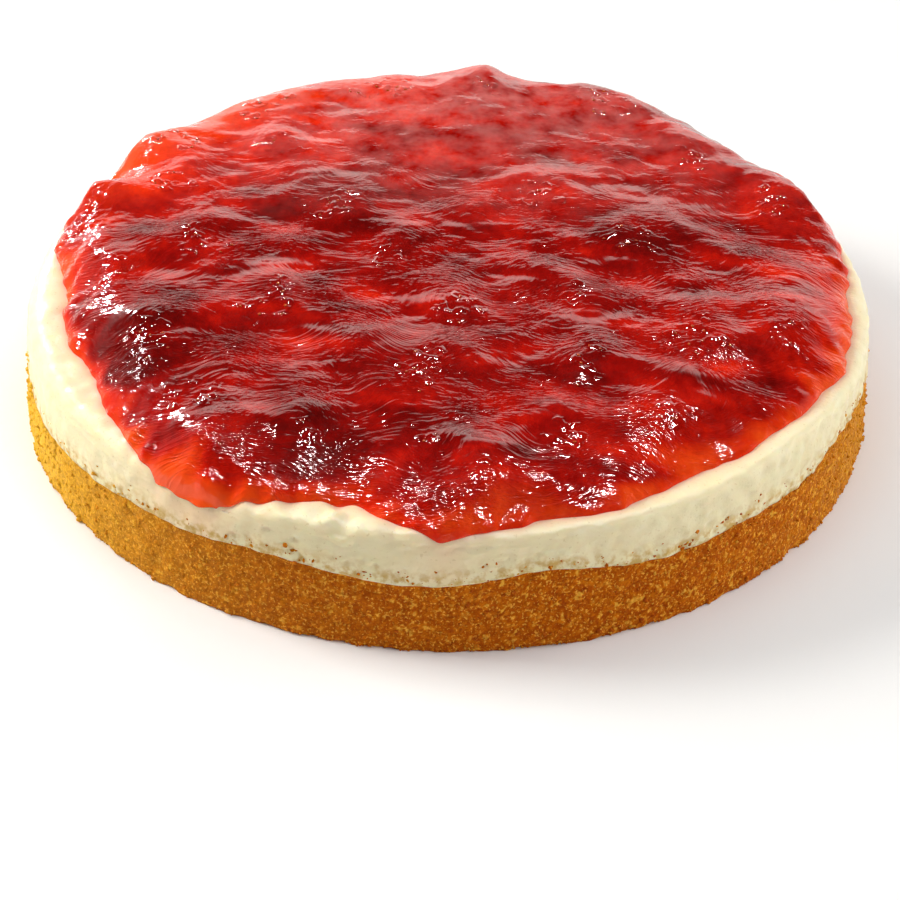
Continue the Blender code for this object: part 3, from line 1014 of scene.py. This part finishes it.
def build_compote():
    ring, angle, faces = hex_disc(COMPOTE_RINGS)
    radius = compote_places(ring, angle)
    x = radius * np.cos(angle)
    y = radius * np.sin(angle)
    z, lifted = gel_height(x, y)
    rim = np.flatnonzero(ring == COMPOTE_RINGS)
    count = len(rim)
    azimuth = np.degrees(angle[rim])
    tuck_radius = radius[rim] - TUCK_INSET
    tuck = circle(azimuth, tuck_radius, cream_top(azimuth, tuck_radius) - 2.0 * EDGE_SINK)
    points = np.concatenate([np.stack([x, y, z], 1), tuck, [[0.0, 0.0, CREAM_LEVEL]]])
    a = rim
    b = np.roll(rim, -1)
    c = len(x) + (np.arange(count) + 1) % count
    d = len(x) + np.arange(count)
    side = np.concatenate([np.stack([b, a, d], 1), np.stack([b, d, c], 1)])
    under = np.stack([c, d, np.full(count, len(points) - 1)], 1)
    values = gel_values(points[:, 0], points[:, 1], np.append(lifted, np.zeros(count + 1)))
    make_piece("strawberry_compote_gel", points, np.concatenate([faces, side, under]),
               compote_material(), ["strawberry_compote"], values)


def pit_places(berry):
    """Pits in staggered rows across the berry, from its stalk end to its tip."""
    rng = np.random.default_rng(400 + berry.number)
    rows = int(2.0 * berry.half_length / PIT_ROW_SPACING)
    places = []
    for i in range(rows):
        u = -berry.half_length + (i + 0.5) * 2.0 * berry.half_length / rows
        width = berry.half_width * math.sqrt(max(0.0, 1.0 - (u / berry.half_length) ** 2))
        number = int(2.0 * width / PIT_SPACING)
        for j in range(number):
            v = -width + (j + 0.25 + 0.5 * (i % 2)) * 2.0 * width / number
            places.append((u + rng.normal(0.0, PIT_JITTER), v + rng.normal(0.0, PIT_JITTER)))
    return places


def berry_pits(berry, u, v, bare, seeds):
    """How deep in a pit each point is. The pits in bare flesh get seeds."""
    pit = np.zeros(len(u))
    for pu, pv in pit_places(berry):
        far = np.hypot(u - pu, v - pv)
        pit = np.maximum(pit, np.exp(-1.4 * (far / PIT_RADIUS) ** 2))
        if bare[np.argmin(far)] > SEED_BARENESS:
            seeds.append((berry, pu, pv))
    return pit


def build_berry(berry, material, seeds):
    """A half whose top follows the compote over it. Its flesh is bare in patches, with seed pits."""
    ring, angle, faces = hex_disc(BERRY_RINGS)
    out = ring / BERRY_RINGS
    along = np.cos(angle) * out
    across = np.sin(angle) * out * (1.0 - BERRY_TAPER * along)
    u = berry.half_length * along
    v = berry.half_width * across
    x, y = berry.place(u, v)
    height, lifted = gel_height(x, y)
    bare = bareness(berry, x, y) * ease((inwards(x, y) - BARE_INSET) / BARE_INSET)
    pit = berry_pits(berry, u, v, bare, seeds)
    skin = height - COVERED_DROP + (COVERED_DROP + BARE_RISE) * ease(1.4 * bare)
    skin = skin + (SKIN_KNOBS * knobs(x, y) - PIT_DEPTH * pit) * ease(2.5 * bare - 0.9)
    floor = np.minimum(berry.floor, height.min() - BERRY_SUNK)
    z = skin + (floor - skin) * ease((out - BERRY_SKIRT) / (1.0 - BERRY_SKIRT))
    points = np.concatenate([np.stack([x, y, z], 1), [[*berry.centre, floor]]])
    rim = np.flatnonzero(ring == BERRY_RINGS)
    under = np.stack([np.roll(rim, -1), rim, np.full(len(rim), len(points) - 1)], 1)
    values = gel_values(points[:, 0], points[:, 1], np.append(lifted, 0.0))
    values["pit"] = np.append(pit, 0.0)
    make_piece(berry.name + "_half", points, np.concatenate([faces, under]), material,
               [berry.name], values)


def cream_profile(azimuth):
    """Rows from behind the crust's edge, up the side, over the shoulder and in under the compote: radius,
    height and how much each faces outwards."""
    low = crust_edge(azimuth) - CREAM_TUCK
    high = shoulder(azimuth)
    turn = shoulder_round(azimuth)
    start = cream_radius(high) - turn
    rows = []
    for k in range(CREAM_SIDE_ROWS):
        height = low + (high - turn - low) * k / CREAM_SIDE_ROWS
        rows.append((cream_radius(height), height, 1.0))
    for k in range(CREAM_TURN_ROWS):
        angle = 0.5 * math.pi * k / CREAM_TURN_ROWS
        radius = start + turn * math.cos(angle)
        rows.append((radius, high - turn + turn * math.sin(angle), math.cos(angle)))
    for k in range(CREAM_INNER_ROWS + 1):
        radius = start - CREAM_INNER_RUN * k / CREAM_INNER_ROWS
        rows.append((radius, cream_top(azimuth, radius), 0.0))
    return rows


def cream_holes():
    """Small air holes in the cream's side: azimuth, how far up, and size."""
    rng = np.random.default_rng(61)
    holes = []
    for _ in range(HOLE_COUNT):
        azimuth = rng.choice([rng.uniform(0, 360)] + [rng.normal(*group) for group in HOLE_GROUPS])
        share = rng.beta(1.2, 3.0)
        small = rng.random() < 1.0 - HOLE_LARGE_SHARE
        size = rng.uniform(0.25, 0.5) if small else rng.uniform(0.5, 0.8)
        holes.append((azimuth % 360.0, share, size * MM))
    return holes


def hole_depth(azimuth, height, holes):
    low = crust_edge(azimuth) + HOLE_INSET
    high = shoulder(azimuth) - HOLE_LIMIT
    depth = np.zeros(len(azimuth))
    for hole_azimuth, share, size in holes:
        across = np.radians(turn_between(azimuth, hole_azimuth)) * CAKE_RADIUS
        up = height - low - share * (high - low + HOLE_INSET)
        depth += 0.9 * size * np.exp(-(np.hypot(across / 1.5, up) / size) ** 4)
    return depth


def cream_row(azimuth, row, holes):
    """A row's points, and how stained, how crumby and how deep in the side's painted shade they are."""
    radius, height, outward = (np.broadcast_to(value, azimuth.shape).copy() for value in row)
    low = crust_edge(azimuth)
    arc = np.radians(azimuth) * CAKE_RADIUS
    waves = SIDE_LUMPS * lumps(arc, height) + SIDE_PEBBLES * pebbles(arc * 0.7, height)
    radius += (waves * (1.0 - lobes(azimuth, SIDE_CALMS)) - SIDE_INSET) * outward
    height += rim_relief(azimuth, radius) * (outward > 0.0) * (outward < 1.0)
    radius -= hole_depth(azimuth, height, holes) * (outward == 1.0)
    past = radius - compote_radius(azimuth, 0.0)
    stain = np.exp(-np.maximum(past, 0.0) / STAIN_RUN) * (past > -STAIN_REACH)
    stain = stain * (1.0 - (1.0 - STAIN_AT_SIDE) * outward)
    crumb = np.exp(-np.maximum(height - low, 0.0) / CRUMB_RUN)
    # Painted shade on the side under the shoulder.
    side = ease((shoulder(azimuth) - SHOULDER_SHADE - height) / SHADE_RUN) * (outward > 0.0)
    return circle(azimuth, radius, height), stain, crumb, side


def build_cream():
    azimuth = np.arange(CREAM_COLUMNS) * 360.0 / CREAM_COLUMNS
    holes = cream_holes()
    rows, stain, crumb, side = zip(*(cream_row(azimuth, row, holes) for row in cream_profile(azimuth)))
    points, faces = lathe(list(rows), cream_low.z, CREAM_LEVEL - CREAM_SINK)
    values = {"stain": with_ends(stain, 0.0), "crumb": with_ends(crumb, 0.0), "side": with_ends(side, 0.0)}
    make_piece("mousse_cream_layer", points, faces, cream_material(), ["mousse_cream"], values)


def crust_surface(azimuth, share):
    """The crust's side: radius, height, how much painted shade lies in the hollows between grains, and which
    grain, at a share of the way up.
    """
    arc = np.radians(azimuth) * CAKE_RADIUS
    level = np.zeros(np.shape(arc))
    period = 2.0 * math.pi * CAKE_RADIUS
    ragged = EDGE_LUMPS * lumps(arc, level) + EDGE_PEBBLES * pebbles(0.7 * arc, level)
    height = share * (crust_edge(azimuth) + ragged)
    near, number = cells(arc, height + 0.07, CRUMB_CELL, period, 71)
    coarse, coarse_number = cells(arc, height + 0.05, COARSE_CELL, period, 72)
    bulge = CRUMB_RELIEF * (1.0 - near) * (0.6 + 0.8 * number)
    bulge = bulge + COARSE_RELIEF * (0.55 - coarse) * (0.5 + coarse_number)
    bulge = bulge + CRUST_LUMPS * lumps(arc, height)
    foot = np.exp(-height / FOOT_RUN) * (FOOT_INSET + FOOT_LUMPS * lumps(arc, level + 0.03))
    radius = CAKE_RADIUS - WALL_SLOPE * height + bulge - CRUST_INSET - CRUST_TOP_INSET * share - foot
    return radius, height, 0.8 * ease((near - 0.45) / 0.4), number


def painted_light_share(points):
    """Painted light: the crust is painted a paler gold at the left, where the key lamp lights it, and a
    little at the right, where the light from the right falls.
    """
    return lobes(azimuth_of(points[:, 0], points[:, 1]), CRUST_PAINTED_LIGHTS)


def build_crust(material):
    azimuth = np.arange(CRUST_COLUMNS) * 360.0 / CRUST_COLUMNS
    rows = []
    hollow_shade = []
    grain = []
    steps = [(0.0, 0.0)] * CRUST_ROWS + [(0.0, 0.0), *CRUST_TOP_STEPS]
    for k, (inset, drop) in enumerate(steps):
        radius, height, crevice_shade, number = crust_surface(azimuth, min(k / CRUST_ROWS, 1.0))
        rows.append(circle(azimuth, radius - inset, height - drop))
        hollow_shade.append(crevice_shade)
        grain.append(number)
    points, faces = lathe(rows, 0.0, crust_high.z - CRUST_CORE_DROP)
    # The values hold painted light at the sides and painted shade in the hollows.
    values = {"painted_light": painted_light_share(points), "hollow_shade": with_ends(hollow_shade, 0.0), "grain": with_ends(grain, 0.5)}
    make_piece("crumb_crust_body", points, faces, material, ["crumb_crust"], values)


def rock():
    """A grain's rough outline: the twelve corners and twenty faces of an icosahedron."""
    g = (1.0 + math.sqrt(5.0)) / 2.0
    corners = []
    for s in (-1.0, 1.0):
        for t in (-g, g):
            corners += [(0.0, s, t), (s, t, 0.0), (t, 0.0, s)]
    corners = np.array(corners) / math.hypot(1.0, g)
    faces = []
    for a, b, c in combinations(range(len(corners)), 3):
        p, q, r = corners[[a, b, c]]
        if max(np.linalg.norm(side) for side in (p - q, q - r, r - p)) < 1.2:
            outwards = np.cross(q - p, r - p) @ p > 0
            faces.append((a, b, c) if outwards else (a, c, b))
    return corners, np.array(faces)


def repeated(faces, count, corners):
    """The faces of one shape, for count shapes that follow each other."""
    return (faces[None] + corners * np.arange(count)[:, None, None]).reshape(-1, 3)


def turns(rng, count):
    """Random rotation matrices."""
    return np.array([Quaternion(row).normalized().to_matrix() for row in rng.standard_normal((count, 4))])


def grain_places(rng, count):
    """Azimuth and share of the way up, with more grains at the foot and at the top edge."""
    azimuth = rng.uniform(0.0, 360.0, count)
    share = rng.random(count)
    at_foot = rng.random(count) < GRAIN_FOOT_SHARE
    share[at_foot] = rng.uniform(0.0, 0.06, at_foot.sum())
    at_edge = rng.random(count) < GRAIN_EDGE_SHARE
    share[at_edge] = rng.normal(1.01, 0.045, at_edge.sum())
    return azimuth, share


def build_grains(material):
    """Loose crumbs that stand out of the crust's side, its foot and its top edge."""
    rng = np.random.default_rng(81)
    corners, faces = rock()
    count = GRAIN_COUNT
    azimuth, share = grain_places(rng, count)
    size = (GRAIN_MEDIAN * rng.lognormal(0.0, GRAIN_SPREAD, count)).clip(GRAIN_LEAST, GRAIN_MOST)
    radius, height, _, _ = crust_surface(azimuth, share)
    radius = radius + size * rng.uniform(-0.45, 0.25, count)
    middle = circle(azimuth, radius, np.maximum(height, 0.75 * size))
    stretch = rng.uniform(0.6, 1.25, (count, 1, 3))
    rough = 1.0 + 0.22 * rng.standard_normal((count, len(corners), 1)).clip(-1.5, 1.5)
    shapes = corners[None] * stretch * rough * size[:, None, None]
    shapes = np.einsum("nij,nkj->nki", turns(rng, count), shapes)
    points = (middle[:, None] + shapes).reshape(-1, 3)
    points[:, 2] = np.maximum(points[:, 2], 0.02 * MM)
    bright = rng.random(count) < GRAIN_BRIGHT_SHARE
    light = np.where(bright, rng.uniform(0.85, 1.0, count), rng.uniform(0.1, 0.85, count))
    light = np.repeat(light, len(corners))
    # The grains share the crust's painted light.
    values = {"painted_light": painted_light_share(points), "grain": light, "hollow_shade": np.zeros(len(points))}
    faces = repeated(faces, count, len(corners))
    make_piece("crust_crumbs", points, faces, material, values=values)


def build_seeds(seeds):
    """The seeds in the pits of the bare flesh, as one piece."""
    rng = np.random.default_rng(91)
    corners, faces = rock()
    points = []
    for berry, u, v in seeds:
        x, y = berry.place(u, v)
        height, _ = smooth_height(np.array([x]), np.array([y]))
        shape = corners * np.array(SEED_HALF_SIZE) * rng.uniform(0.85, 1.15)
        spin = math.atan2(berry.axis[1], berry.axis[0]) + rng.normal(0.0, 0.3)
        turn = np.array(Matrix.Rotation(spin, 3, "Z"))
        points.append(shape @ turn.T + np.array([x, y, height[0] + SEED_RISE]))
    make_piece("strawberry_seeds", np.concatenate(points), repeated(faces, len(seeds), len(corners)),
               seed_material())


# ----- The studio -----


def add_floor():
    mesh = bpy.data.meshes.new("floor")
    corners = [(x * FLOOR_HALF, y * FLOOR_HALF, 0.0) for x, y in ((-1, -1), (1, -1), (1, 1), (-1, 1))]
    mesh.from_pydata(corners, [], [(0, 1, 2, 3)])
    mesh.materials.append(floor_material())
    add_object("floor", mesh)


def add_lamp(name, place, target, size, watts, colour=WHITE):
    data = bpy.data.lights.new(name, "AREA")
    data.shape = "RECTANGLE"
    data.size = size
    data.size_y = size
    data.energy = watts
    data.color = colour
    lamp = add_object(name, data)
    lamp.location = place
    lamp.rotation_euler = (Vector(target) - Vector(place)).to_track_quat("-Z", "Y").to_euler()
    return lamp


def add_world():
    """White all round the horizon and dark overhead and behind the camera, so that gloss shows shape."""
    n = Nodes(bpy.data.worlds.new("studio"), "Generated")
    level = 1.0
    for axis, *ends in SKY_FADES:
        fade = n.between(n.axis(axis), *ends)
        fade.node.interpolation_type = "SMOOTHSTEP"
        level = n.times(level, fade)
    n.fill(n.tree.nodes["Background"], {"Color": SKY_COLOUR, "Strength": level})
    bpy.context.scene.world = n.owner


def add_studio():
    add_world()
    for name, place, size, watts, colour in SOFT_LAMPS:
        add_lamp(name, place, SOFT_TARGET, size, watts, colour).visible_glossy = False
    for number, place in enumerate(SPARKLES):
        lamp = add_lamp("sparkle_%d" % (number + 1), place, SPARKLE_TARGET, SPARKLE_SIZE, SPARKLE_WATTS)
        lamp.visible_diffuse = False
    bpy.context.scene.view_settings.view_transform = "Standard"


def turned(degrees, axis):
    return Matrix.Rotation(math.radians(degrees), 4, axis)


def add_camera():
    elevation = math.radians(CAMERA_ELEVATION)
    place = Vector((0.0, -math.cos(elevation), math.sin(elevation))) * CAMERA_DISTANCE
    data = bpy.data.cameras.new("camera")
    data.lens = CAMERA_LENS
    data.sensor_width = CAMERA_SENSOR
    camera = add_object("camera", data)
    level = turned(90.0 - CAMERA_ELEVATION, "X")
    aim = turned(-CAMERA_AIM_DOWN, "X") @ turned(-CAMERA_AIM_RIGHT, "Y")
    camera.matrix_world = Matrix.Translation(place) @ level @ turned(CAMERA_ROLL, "Z") @ aim
    bpy.context.scene.camera = camera


add_camera()
add_studio()
add_floor()
crumbs = crumb_material()
build_crust(crumbs)
build_grains(crumbs)
build_cream()
build_compote()
flesh = berry_material()
seed_list = []
for berry in BERRIES:
    build_berry(berry, flesh, seed_list)
build_seeds(seed_list)
